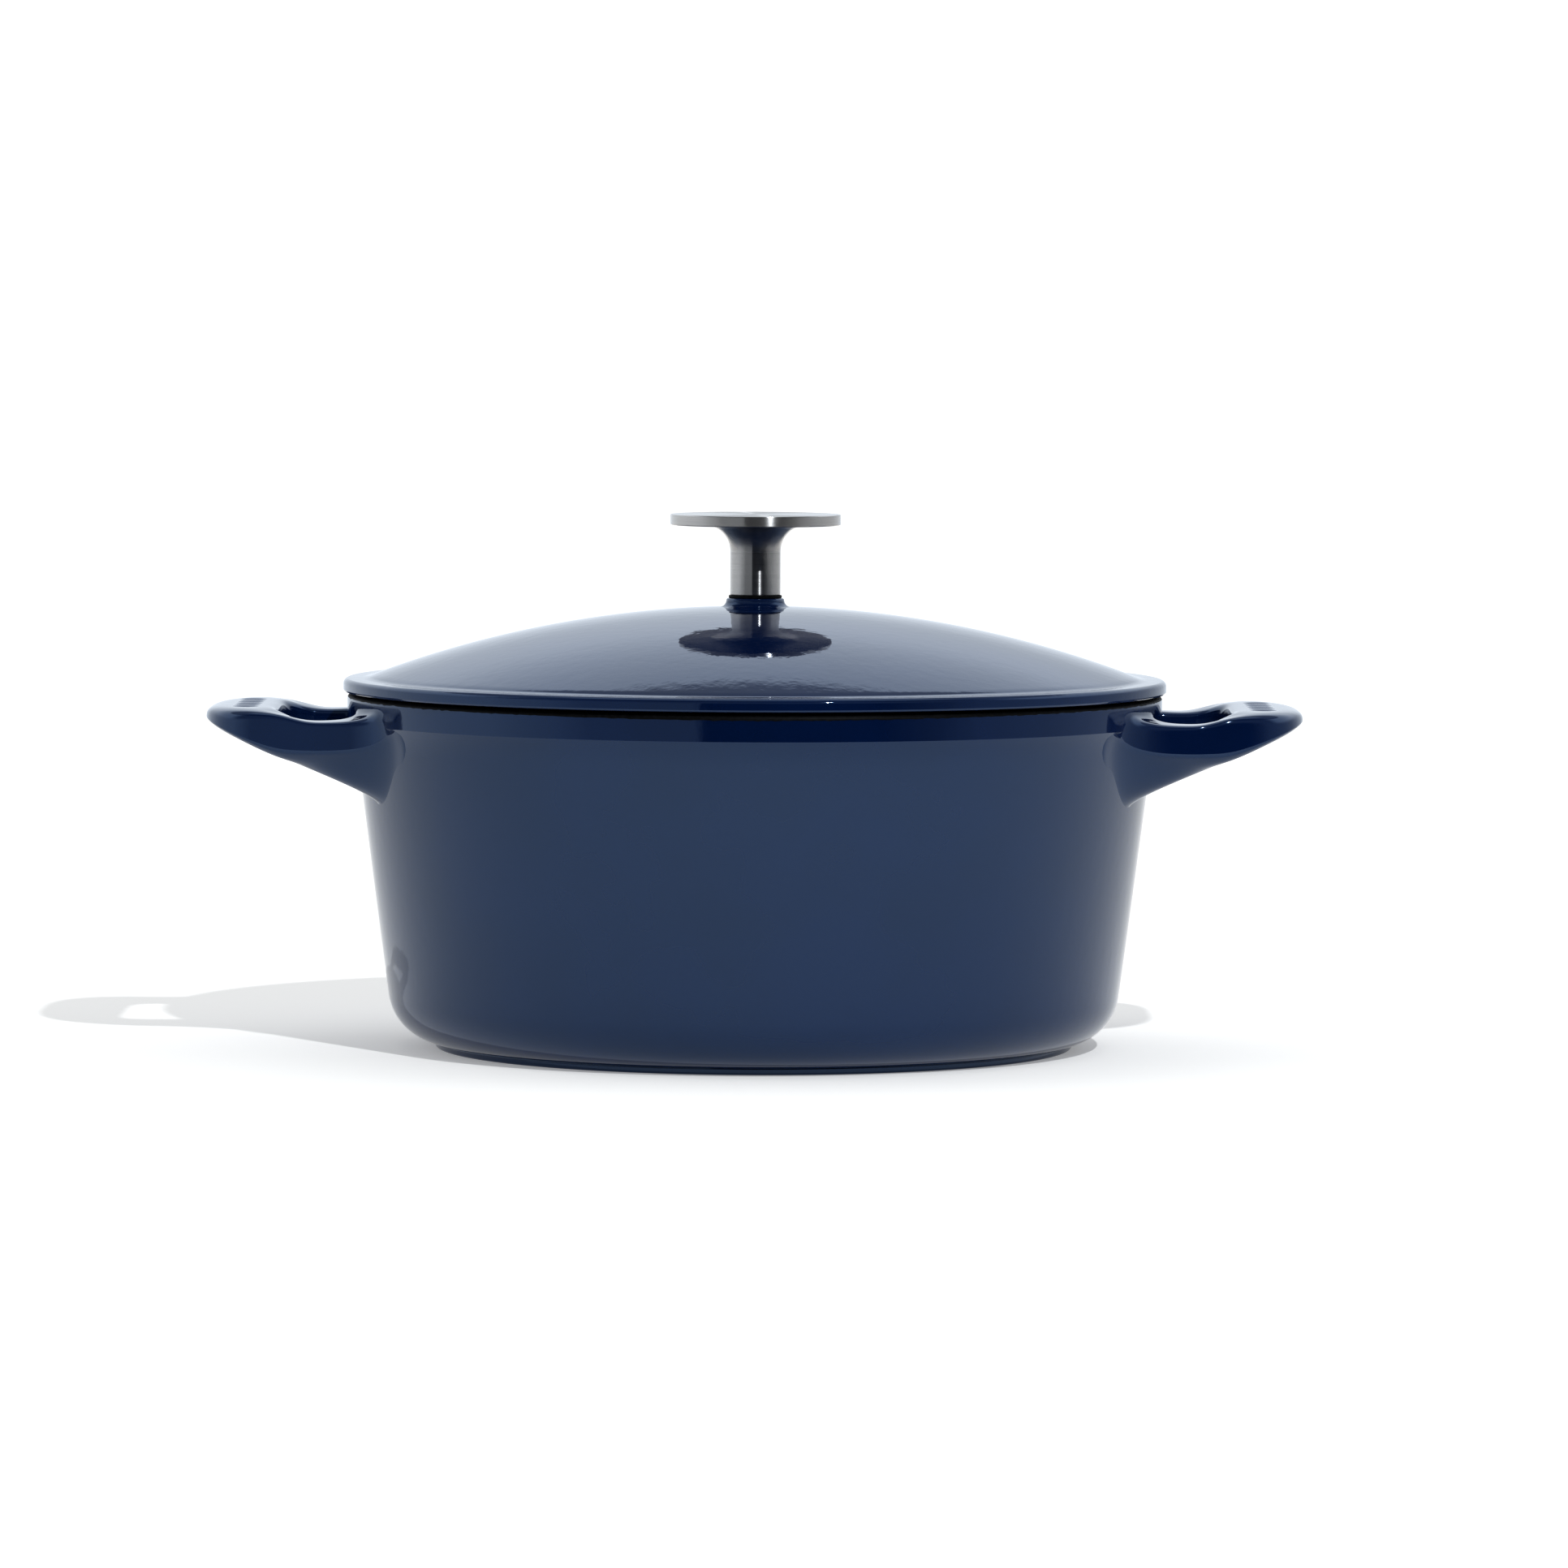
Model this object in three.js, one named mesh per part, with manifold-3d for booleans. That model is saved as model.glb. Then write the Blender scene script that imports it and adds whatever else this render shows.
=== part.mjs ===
// Enamelled cast iron dutch oven: a round pot with two cast loop handles, and a domed lid with a steel knob.
// Millimetres, +Z up. The origin is the centre of the foot ring, on the surface that the pot stands on.
// The handles lie along X. Every turned piece shares the Z axis.

import * as THREE from "three";
import { mergeVertices } from "three/addons/utils/BufferGeometryUtils.js";
import Module from "manifold-3d";

const wasm = await Module();
wasm.setup();

// ---------------------------------------------------------------- driving dimensions

const ROUND = 56; // facets round the pot and the lid
const SMALL_ROUND = 32; // facets round the knob and its fastener
const GAP = 0.3; // between pieces that touch
const COAT = 0.6; // an enamel coat, drawn a little thicker than it is
const SMALL_EDGE = 0.6; // bevel on a sharp edge of a casting
const OVERRUN = 1; // how far a cutter stands out of the piece that it cuts

const pot = {
  wallFoot: 120.36, // outer radius that the wall's slope would have at z = 0
  draft: 0.1329, // outward lean of the wall, mm per mm of height
  cornerRadius: 18, // between the floor and the wall, outside
  footRadius: 107,
  footInner: 99,
  footBevel: 1, // on the inner edge of the foot ring
  footHeight: 2,
  footRecess: 1, // how far the floor stands off the table inside the foot ring
  iron: 3.4, // wall without its inside coat
  floorTop: 5.6, // top of the iron floor
  insideCorner: 16.6,
  bandRadius: 136.65, // the thickened rim band
  bandBottom: 109.8,
  flareStart: 101, // where the wall starts to curve out to the band
  ironTop: 118, // top of the iron rim, under its dark coat
  bandBevel: 0.9, // on the top edge of the band
  rimTop: 118.9,
  rimEdge: 135.8, // where the blue enamel of the rim stops
  rimBevel: 0.2, // on the outer edge of the dark coat
};

const handle = {
  tip: 183.4,
  armHalf: 51, // half width over the two arms, at the middle of their length
  armMiddle: 146,
  buried: 20, // how far the arms are drawn into the pot, before the cavity is cut
  spread: 4, // where the spread of the arms bends, inside the band's face and outside the arm
  gripHalf: 47.5, // half width where the corners of the grip start
  flareHalf: 66, // half width inside the wall, where the arms spread
  cornerStart: 166,
  cornerBulge: 3, // where a corner of the grip bends, inside the grip's half width
  tipBulge: 1, // and inside its tip
  tipFlat: 20, // half length of the straight end of the grip
  holeHalf: 36,
  holeEnd: 158.5,
  holeCorner: 9,
  holeBuried: 14, // how far the gap is drawn into the pot, which fills it again
  gripTop: 115,
  armTop: 111.1,
  stepFrom: 149.7, // the grip rises from the arms between these two places
  stepTo: 160.6,
  nose: 4.2, // radius of the grip's outer end
  noseUnder: 1.5, // where the lower half of that end bends, above the underside
  noseOver: 1, // where its upper half starts, above the nose's own centre
  slope: 0.426, // rise of the underside, mm per mm of reach
  rootUnder: 87.8, // height of the underside where it meets the wall
  rootReach: 131,
};

const lid = {
  radius: 138,
  edgeBottom: 119.4,
  edgeTop: 124,
  edgeRound: 1.8,
  domeRadius: 363,
  domeTop: 148,
  blendRadius: 22, // hollow curve between the dome and the flange
  iron: 3.6, // thickness of the dome without its inside coat
  seatInner: 130.2, // the flange rests on the rim between these radii
  seatOuter: 136.3,
  seatCoat: 0.4, // dark coat under the flange
  lipOuter: 129.6,
  lipInner: 126.2,
  lipBottom: 114,
  lipBevel: 0.8,
  lipBlend: 6, // how far inside the lip the dome's underside starts to turn down
  lipDrop: 1, // and how far it has dropped at the lip
  bossRadius: 9.7,
  bossTop: 150.8,
  bossFillet: 4,
  filletPoint: [1.2, 1], // a point on that fillet, out from the boss and up from the fillet's foot
  filletTop: 2.4,
  bossBevel: 0.4,
  padRadius: 11, // flat pad under the dome for the screw's washer
  padBottom: 141.6,
  padSlope: 2, // width of the slope from the pad up to the dome
  underStart: 30, // radius from which the dome's underside is drawn as a curve
  boreRadius: 3.4,
};

const knob = {
  seatThickness: 0.4, // dark washer between the lid's boss and the knob
  seatRadius: 8.9,
  stemRadius: 8.45,
  flareStart: 165.7,
  diskUnder: 175.3,
  diskRadius: 28.6,
  top: 178.9,
  edge: 0.4,
  threadRadius: 3.3,
  threadDepth: 15,
  drillPoint: 1.5,
};

const screw = {
  shankRadius: 3,
  shankPoint: 1,
  headRadius: 6,
  headHeight: 3.2,
  headFace: 4.6, // radius of the flat of the head
  headShoulder: [0.4, 0.9], // a point on the head's rounding, in from its side and up from its flat
  headSide: 2, // height at which the rounding meets the side
  slotWidth: 1.4,
  slotDepth: 1.4,
  reach: 13,
};

const springWasher = {
  inner: 3.3,
  outer: 5.6,
  thickness: 1.2,
  split: 1,
};

// ---------------------------------------------------------------- helpers

// Points on an arc about (cr, cz), from one angle to another, in degrees from the outward direction.
function arc(cr, cz, radius, from, to, steps) {
  return Array.from({ length: steps + 1 }, (_, i) => {
    const a = THREE.MathUtils.degToRad(from + ((to - from) * i) / steps);
    return [cr + radius * Math.cos(a), cz + radius * Math.sin(a)];
  });
}

// A closed three.js geometry as a manifold-3d solid.
function solidOf(geometry) {
  const bare = geometry.clone();
  bare.deleteAttribute("normal");
  bare.deleteAttribute("uv");
  const merged = mergeVertices(bare, 1e-3);
  const mesh = new wasm.Mesh({
    numProp: 3,
    vertProperties: merged.attributes.position.array,
    triVerts: new Uint32Array(merged.index.array),
  });
  return new wasm.Manifold(mesh);
}

// A solid of revolution about Z from a profile of [radius, height], given anticlockwise.
function turned(profile, segments) {
  const closed = profile[0][0] > 0 ? [...profile, profile[0]] : profile;
  const points = closed.map(([r, z]) => new THREE.Vector2(r, z));
  return solidOf(new THREE.LatheGeometry(points, segments).rotateX(Math.PI / 2));
}

// An outline in plan, raised into a solid between two heights.
function standing(outline, bottom, top) {
  const geometry = new THREE.ExtrudeGeometry(outline, {
    depth: top - bottom,
    bevelEnabled: false,
    curveSegments: 7,
  });
  return solidOf(geometry.translate(0, 0, bottom));
}

// An outline drawn in X and Z, stretched across Y.
function across(outline, halfWidth) {
  const geometry = new THREE.ExtrudeGeometry(outline, {
    depth: 2 * halfWidth,
    bevelEnabled: false,
    curveSegments: 6,
  });
  return solidOf(geometry.rotateX(Math.PI / 2).translate(0, halfWidth, 0));
}

const root = new THREE.Group();

function addPiece(name, solid, color, roughness, metalness) {
  const { vertProperties, triVerts } = solid.getMesh();
  const geometry = new THREE.BufferGeometry();
  geometry.setAttribute("position", new THREE.BufferAttribute(vertProperties, 3));
  geometry.setIndex(new THREE.BufferAttribute(triVerts, 1));
  geometry.computeVertexNormals();
  const material = new THREE.MeshStandardMaterial({ color, roughness, metalness });
  const mesh = new THREE.Mesh(geometry, material);
  mesh.name = name;
  root.add(mesh);
}

// ---------------------------------------------------------------- pot

const wallRadius = (z) => pot.wallFoot + pot.draft * z;
const lean = Math.atan(pot.draft);
const leanDegrees = THREE.MathUtils.radToDeg(lean);

// The arc that joins a floor at height z to a wall that stands inside the outer wall by inset.
function corner(radius, z, inset, steps) {
  const centreZ = z + radius;
  const touchZ = centreZ - radius * Math.sin(lean);
  const centreR = wallRadius(touchZ) - inset - radius * Math.cos(lean);
  return arc(centreR, centreZ, radius, -90, -leanDegrees, steps);
}

// The wall curves out to the rim band on an arc that leaves the wall tangentially.
function bandFlare(steps) {
  const start = [wallRadius(pot.flareStart), pot.flareStart];
  const out = pot.bandRadius - start[0];
  const up = pot.bandBottom - start[1];
  const endAngle = 2 * Math.atan(out / up) - lean;
  const radius = up / (Math.sin(endAngle) - Math.sin(lean));
  const centre = [start[0] + radius * Math.cos(lean), start[1] - radius * Math.sin(lean)];
  const last = 180 - THREE.MathUtils.radToDeg(endAngle);
  return arc(centre[0], centre[1], radius, 180 - leanDegrees, last, steps);
}

function potCavity() {
  return turned(
    [
      [0, pot.floorTop],
      ...corner(pot.insideCorner, pot.floorTop, pot.iron, 5),
      [wallRadius(pot.rimTop) - pot.iron, pot.rimTop + OVERRUN],
      [0, pot.rimTop + OVERRUN],
    ],
    ROUND,
  );
}

function potBody() {
  return turned(
    [
      [0, pot.footRecess],
      [pot.footInner, pot.footRecess],
      [pot.footInner + pot.footBevel, 0],
      [pot.footRadius - SMALL_EDGE, 0],
      [pot.footRadius, SMALL_EDGE],
      ...corner(pot.cornerRadius, pot.footHeight, 0, 6),
      ...bandFlare(3),
      [pot.bandRadius, pot.ironTop - pot.bandBevel],
      [pot.rimEdge + GAP, pot.ironTop],
      [0, pot.ironTop],
    ],
    ROUND,
  );
}

// Plan of one loop handle, on the +X side: two arms that spread into the wall, and the grip between them.
function handlePlan() {
  const outline = new THREE.Shape();
  const inside = pot.bandRadius - handle.buried;
  const bend = [pot.bandRadius - handle.spread, handle.armHalf + handle.spread];
  const corner = [handle.tip - handle.tipBulge, handle.gripHalf - handle.cornerBulge];
  outline.moveTo(inside, -handle.flareHalf);
  outline.quadraticCurveTo(bend[0], -bend[1], handle.armMiddle, -handle.armHalf);
  outline.lineTo(handle.cornerStart, -handle.gripHalf);
  outline.quadraticCurveTo(corner[0], -corner[1], handle.tip, -handle.tipFlat);
  outline.lineTo(handle.tip, handle.tipFlat);
  outline.quadraticCurveTo(corner[0], corner[1], handle.cornerStart, handle.gripHalf);
  outline.lineTo(handle.armMiddle, handle.armHalf);
  outline.quadraticCurveTo(bend[0], bend[1], inside, handle.flareHalf);
  outline.closePath();

  const hole = new THREE.Path();
  const { holeHalf, holeEnd, holeCorner } = handle;
  const holeStart = pot.bandRadius - handle.holeBuried;
  hole.moveTo(holeStart, -holeHalf);
  hole.lineTo(holeEnd - holeCorner, -holeHalf);
  hole.quadraticCurveTo(holeEnd, -holeHalf, holeEnd, -holeHalf + holeCorner);
  hole.lineTo(holeEnd, holeHalf - holeCorner);
  hole.quadraticCurveTo(holeEnd, holeHalf, holeEnd - holeCorner, holeHalf);
  hole.lineTo(holeStart, holeHalf);
  hole.closePath();
  outline.holes.push(hole);
  return outline;
}

// Side of the same handle: a wedge, deep at the wall and thin at the grip, which stands above the arms.
function handleSide() {
  const side = new THREE.Shape();
  const inside = pot.bandRadius - handle.buried - OVERRUN;
  const underside = (x) => handle.rootUnder + handle.slope * (x - handle.rootReach);
  const noseX = handle.tip - handle.nose;
  const middle = (handle.stepFrom + handle.stepTo) / 2;
  const tipHeight = handle.gripTop - handle.nose + handle.noseOver;
  side.moveTo(inside, underside(inside));
  side.lineTo(noseX, underside(noseX));
  side.quadraticCurveTo(handle.tip, underside(noseX) + handle.noseUnder, handle.tip, tipHeight);
  side.quadraticCurveTo(handle.tip, handle.gripTop, noseX, handle.gripTop);
  side.lineTo(handle.stepTo, handle.gripTop);
  side.bezierCurveTo(middle, handle.gripTop, middle, handle.armTop, handle.stepFrom, handle.armTop);
  side.lineTo(inside, handle.armTop);
  side.closePath();
  return side;
}

const handleBlank = standing(handlePlan(), 0, lid.domeTop);
const rightHandle = handleBlank.intersect(across(handleSide(), handle.flareHalf + OVERRUN));
const leftHandle = rightHandle.mirror([1, 0, 0]);
const potCasting = potBody().add(rightHandle).add(leftHandle).subtract(potCavity());

const lining = turned(
  [
    [0, pot.floorTop + GAP],
    ...corner(pot.insideCorner - GAP, pot.floorTop + GAP, pot.iron + GAP, 5),
    [wallRadius(pot.ironTop) - pot.iron - GAP, pot.ironTop],
    [wallRadius(pot.ironTop) - pot.iron - GAP - COAT, pot.ironTop],
    ...corner(pot.insideCorner - GAP - COAT, pot.floorTop + GAP + COAT, pot.iron + GAP + COAT, 5).reverse(),
    [0, pot.floorTop + GAP + COAT],
  ],
  ROUND,
);

const rimInner = wallRadius(pot.ironTop) - pot.iron - GAP;
const rimCoat = turned(
  [
    [rimInner, pot.ironTop + GAP],
    [pot.rimEdge, pot.ironTop + GAP],
    [pot.rimEdge, pot.rimTop - pot.rimBevel],
    [pot.rimEdge - pot.rimBevel, pot.rimTop],
    [rimInner, pot.rimTop],
  ],
  ROUND,
);

// ---------------------------------------------------------------- lid

// Height of a dome that lies under the lid's top by depth, at a radius from the axis.
const domeHeight = (r, depth) =>
  lid.domeTop - depth - (lid.domeRadius - Math.sqrt(lid.domeRadius ** 2 - r ** 2));

function dome(from, to, depth, steps) {
  return Array.from({ length: steps + 1 }, (_, i) => {
    const r = from + ((to - from) * i) / steps;
    return [r, domeHeight(r, depth)];
  });
}

// The hollow curve that leads from the flat flange up to the dome, met from the outside.
function flangeBlend(steps) {
  const outer = lid.domeRadius + lid.blendRadius;
  const centreZ = lid.edgeTop + lid.blendRadius;
  const centreR = Math.sqrt(outer ** 2 - (centreZ - (lid.domeTop - lid.domeRadius)) ** 2);
  const meet = THREE.MathUtils.radToDeg(Math.asin(centreR / outer));
  return arc(centreR, centreZ, lid.blendRadius, -90, -90 - meet, steps);
}

const blend = flangeBlend(3);
const domeEdge = blend[blend.length - 1][0];
const bossFoot = lid.bossRadius + lid.bossFillet;
const filletFoot = domeHeight(bossFoot, 0);
const seatCoatBottom = pot.rimTop + GAP;
const seatCoatTop = seatCoatBottom + lid.seatCoat;
const lidSeat = seatCoatTop + GAP;
const slopeTop = lid.padRadius + lid.padSlope;
const lipHeight = domeHeight(lid.lipInner, lid.iron) - lid.lipDrop;

const lidCasting = turned(
  [
    [lid.boreRadius, lid.padBottom],
    [lid.padRadius, lid.padBottom],
    [slopeTop, domeHeight(slopeTop, lid.iron)],
    ...dome(lid.underStart, lid.lipInner - lid.lipBlend, lid.iron, 4),
    [lid.lipInner, lipHeight],
    [lid.lipInner, lid.lipBottom + lid.lipBevel],
    [lid.lipInner + lid.lipBevel, lid.lipBottom],
    [lid.lipOuter - lid.lipBevel, lid.lipBottom],
    [lid.lipOuter, lid.lipBottom + lid.lipBevel],
    [lid.seatInner, lidSeat],
    [lid.seatOuter + GAP, lidSeat],
    [lid.seatOuter + GAP, lid.edgeBottom],
    [lid.radius - SMALL_EDGE, lid.edgeBottom],
    [lid.radius, lid.edgeBottom + SMALL_EDGE],
    ...arc(lid.radius - lid.edgeRound, lid.edgeTop - lid.edgeRound, lid.edgeRound, 0, 90, 3),
    ...blend,
    ...dome(domeEdge, bossFoot, 0, 5).slice(1),
    [lid.bossRadius + lid.filletPoint[0], filletFoot + lid.filletPoint[1]],
    [lid.bossRadius, filletFoot + lid.filletTop],
    [lid.bossRadius, lid.bossTop - lid.bossBevel],
    [lid.bossRadius - lid.bossBevel, lid.bossTop],
    [lid.boreRadius, lid.bossTop],
  ],
  ROUND,
);

const underIron = lid.iron + GAP;
const underCoat = underIron + COAT;
const liningStart = slopeTop + GAP;
const liningEdge = lid.lipInner - GAP;
const liningBlend = liningEdge - lid.lipBlend;
const liningBottom = lid.lipBottom + lid.lipBevel;
const lidLining = turned(
  [
    [liningStart, domeHeight(slopeTop, underCoat)],
    ...dome(lid.underStart, liningBlend, underCoat, 4),
    [liningEdge - COAT, domeHeight(liningEdge, underCoat) - lid.lipDrop],
    [liningEdge - COAT, liningBottom],
    [liningEdge, liningBottom],
    [liningEdge, domeHeight(liningEdge, underIron) - lid.lipDrop],
    ...dome(liningBlend, lid.underStart, underIron, 4),
    [liningStart, domeHeight(slopeTop, underIron)],
  ],
  ROUND,
);

const lidRimCoat = turned(
  [
    [lid.seatInner + GAP, seatCoatBottom],
    [lid.seatOuter, seatCoatBottom],
    [lid.seatOuter, seatCoatTop],
    [lid.seatInner + GAP, seatCoatTop],
  ],
  ROUND,
);

// ---------------------------------------------------------------- knob and its fastener

const seatWasherBottom = lid.bossTop + GAP;
const seatWasherTop = seatWasherBottom + knob.seatThickness;
const stemBottom = seatWasherTop + GAP;
const seatWasher = turned(
  [
    [lid.boreRadius, seatWasherBottom],
    [knob.seatRadius, seatWasherBottom],
    [knob.seatRadius, seatWasherTop],
    [lid.boreRadius, seatWasherTop],
  ],
  SMALL_ROUND,
);

const flareRadius = knob.diskUnder - knob.flareStart;
const turnedKnob = turned(
  [
    [knob.threadRadius, stemBottom],
    [knob.stemRadius - knob.edge, stemBottom],
    [knob.stemRadius, stemBottom + knob.edge],
    ...arc(knob.stemRadius + flareRadius, knob.flareStart, flareRadius, 180, 90, 5),
    [knob.diskRadius - knob.edge, knob.diskUnder],
    [knob.diskRadius, knob.diskUnder + knob.edge],
    [knob.diskRadius, knob.top - knob.edge],
    [knob.diskRadius - knob.edge, knob.top],
    [0, knob.top],
    [0, stemBottom + knob.threadDepth],
    [knob.threadRadius, stemBottom + knob.threadDepth - knob.drillPoint],
  ],
  SMALL_ROUND,
);

const washerBottom = lid.padBottom - GAP - springWasher.thickness;
const splitRing = turned(
  [
    [springWasher.inner, washerBottom],
    [springWasher.outer, washerBottom],
    [springWasher.outer, washerBottom + springWasher.thickness],
    [springWasher.inner, washerBottom + springWasher.thickness],
  ],
  SMALL_ROUND,
);
const splitBox = new THREE.BoxGeometry(springWasher.outer, springWasher.split, 4 * springWasher.thickness);
const splitCut = solidOf(splitBox.translate(springWasher.outer, 0, washerBottom));

const headTop = washerBottom - GAP;
const headBottom = headTop - screw.headHeight;
const shankTop = stemBottom + screw.reach;
const screwBody = turned(
  [
    [0, headBottom],
    [screw.headFace, headBottom],
    [screw.headRadius - screw.headShoulder[0], headBottom + screw.headShoulder[1]],
    [screw.headRadius, headBottom + screw.headSide],
    [screw.headRadius, headTop],
    [screw.shankRadius, headTop],
    [screw.shankRadius, shankTop - screw.shankPoint],
    [screw.shankRadius - screw.shankPoint, shankTop],
    [0, shankTop],
  ],
  SMALL_ROUND,
);
const slot = new THREE.BoxGeometry(3 * screw.headRadius, screw.slotWidth, 2 * screw.slotDepth);
const slotCut = solidOf(slot.translate(0, 0, headBottom));

// ---------------------------------------------------------------- the assembly

const BLUE = "#16264f";
const CREAM = "#e4ddcb";
const BLACK = "#17171a";
const STEEL = "#b9bbbd";

addPiece("pot", potCasting, BLUE, 0.08, 0);
addPiece("pot_lining", lining, CREAM, 0.2, 0);
addPiece("pot_rim_coat", rimCoat, BLACK, 0.6, 0);
addPiece("lid", lidCasting, BLUE, 0.08, 0);
addPiece("lid_lining", lidLining, CREAM, 0.2, 0);
addPiece("lid_rim_coat", lidRimCoat, BLACK, 0.6, 0);
addPiece("knob", turnedKnob, STEEL, 0.28, 1);
addPiece("knob_seat_washer", seatWasher, BLACK, 0.6, 0);
addPiece("knob_screw", screwBody.subtract(slotCut), STEEL, 0.3, 1);
addPiece("knob_spring_washer", splitRing.subtract(splitCut), STEEL, 0.35, 1);

export default root;
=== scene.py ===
# %% [markdown]
# # An enamelled cast iron dutch oven
#
# The pot and the lid are two iron castings under glassy enamel, and the knob is turned from stainless
# steel. Nearly every piece is a solid of revolution about the Z axis, so most of this lesson is one tool,
# the spin. The two loop handles are the exception, and they are lofted and then subdivided.
#
# The frame comes first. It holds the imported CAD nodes, in metres, and every piece made here stands for
# one of them or lies on one of them.

# %% Load the frame
import math

import bmesh
import bpy
from mathutils import Matrix, Vector, noise


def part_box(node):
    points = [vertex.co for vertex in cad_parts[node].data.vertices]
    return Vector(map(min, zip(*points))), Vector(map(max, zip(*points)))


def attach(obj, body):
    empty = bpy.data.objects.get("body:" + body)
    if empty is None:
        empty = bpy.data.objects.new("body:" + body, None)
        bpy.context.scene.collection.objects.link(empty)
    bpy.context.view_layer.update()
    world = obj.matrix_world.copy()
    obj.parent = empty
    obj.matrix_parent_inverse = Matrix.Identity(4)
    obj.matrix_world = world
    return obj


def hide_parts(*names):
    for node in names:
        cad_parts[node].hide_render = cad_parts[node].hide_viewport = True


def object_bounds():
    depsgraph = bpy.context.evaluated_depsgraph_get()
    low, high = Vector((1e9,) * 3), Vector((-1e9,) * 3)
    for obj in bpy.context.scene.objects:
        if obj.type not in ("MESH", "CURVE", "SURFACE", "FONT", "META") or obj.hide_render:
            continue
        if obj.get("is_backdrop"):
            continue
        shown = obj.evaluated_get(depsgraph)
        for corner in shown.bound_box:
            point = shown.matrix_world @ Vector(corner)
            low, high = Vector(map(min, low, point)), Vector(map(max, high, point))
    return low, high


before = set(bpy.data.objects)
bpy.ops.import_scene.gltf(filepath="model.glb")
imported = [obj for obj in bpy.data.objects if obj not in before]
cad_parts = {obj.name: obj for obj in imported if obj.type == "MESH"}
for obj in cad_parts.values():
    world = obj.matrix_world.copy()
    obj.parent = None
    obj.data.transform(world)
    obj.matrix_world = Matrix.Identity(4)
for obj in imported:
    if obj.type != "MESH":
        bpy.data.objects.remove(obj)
CAD_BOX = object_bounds()
MM = 0.001

# %% [markdown]
# ## Camera
#
# The camera stands well back with a long lens: three metres away, a little above the lid, with the pot
# across seven tenths of the frame. From so far off the rim is a thin ellipse and the sides hardly
# converge. A short lens close by would open the ellipses and look wrong.

# %% Camera
LENS = 201.3
CAMERA_SPOT = (0.0099, -2.940, 0.266)
LOOKING_DOWN, CAMERA_ROLL = 3.459, 0.24  # degrees


def add_camera():
    data = bpy.data.cameras.new("product_camera")
    data.sensor_width = 36
    data.lens = LENS
    data.clip_end = 50
    camera = bpy.data.objects.new("product_camera", data)
    bpy.context.scene.collection.objects.link(camera)
    tilt = math.radians(90 - LOOKING_DOWN)
    roll = math.radians(CAMERA_ROLL)
    turn = Matrix.Rotation(tilt, 4, "X") @ Matrix.Rotation(roll, 4, "Z")
    camera.matrix_world = Matrix.Translation(CAMERA_SPOT) @ turn
    bpy.context.scene.camera = camera
    return camera


camera = add_camera()
print("camera at", tuple(round(c, 3) for c in camera.location))

# %% [markdown]
# ## Light and floor
#
# The studio is a white room. One small, strong lamp on the right draws the crisp shadow, and the white
# walls fill everything else. Glossy enamel is a mirror, so what stands round the pot matters more than
# the lamp: behind the camera the room is dark, and that dark strip is what makes the rim band and the
# edge of the lid read as deep navy. The world's colour is a function of direction for that reason. The
# floor is a round white sheet that ends half a metre in front of the pot's axis, so that the steel stem
# and the rim band mirror the dark side of the room instead of white floor. It glows a little, and more
# towards the back.

# %% Light and floor
FLOOR_RADIUS = 1.2
FLOOR_CENTRE = Vector((0, 0.7, 0))
FLOOR_WHITE = (0.91, 0.86, 0.8, 1)
FLOOR_GLOW = 0.3
GLOW_RISES = 0.35, 1.45  # between these two distances behind the axis, in metres, the glow doubles
LAMP_POWER, LAMP_SIZE, LAMP_TINT = 200, 0.03, (0.93, 1, 1.075)
KEY_LAMP = Vector((0.921, -2.189, 1.954))


def add_floor():
    bm = bmesh.new()
    bmesh.ops.create_circle(bm, cap_ends=True, segments=96, radius=FLOOR_RADIUS)
    bmesh.ops.translate(bm, vec=FLOOR_CENTRE, verts=bm.verts)
    mesh = bpy.data.meshes.new("floor")
    bm.to_mesh(mesh)
    bm.free()
    floor = bpy.data.objects.new("floor", mesh)
    bpy.context.scene.collection.objects.link(floor)
    material = bpy.data.materials.new("white_floor")
    material.use_nodes = True
    shader = material.node_tree.nodes["Principled BSDF"]
    shader.inputs["Base Color"].default_value = FLOOR_WHITE
    shader.inputs["Roughness"].default_value = 0.9
    shader.inputs["Specular IOR Level"].default_value = 0
    shader.inputs["Emission Color"].default_value = (1, 1, 1, 1)
    nodes, links = material.node_tree.nodes, material.node_tree.links
    split = nodes.new("ShaderNodeSeparateXYZ")
    links.new(nodes.new("ShaderNodeTexCoord").outputs["Object"], split.inputs[0])
    far = nodes.new("ShaderNodeMapRange")
    far.interpolation_type = "SMOOTHSTEP"
    far.inputs["From Min"].default_value, far.inputs["From Max"].default_value = GLOW_RISES
    far.inputs["To Min"].default_value = FLOOR_GLOW
    far.inputs["To Max"].default_value = 2 * FLOOR_GLOW
    links.new(split.outputs["Y"], far.inputs["Value"])
    links.new(far.outputs[0], shader.inputs["Emission Strength"])
    mesh.materials.append(material)
    floor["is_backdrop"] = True


def add_key_lamp():
    data = bpy.data.lights.new("key_lamp", "POINT")
    data.energy = LAMP_POWER
    data.color = LAMP_TINT
    data.shadow_soft_size = LAMP_SIZE
    lamp = bpy.data.objects.new("key_lamp", data)
    bpy.context.scene.collection.objects.link(lamp)
    lamp.location = KEY_LAMP


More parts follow.
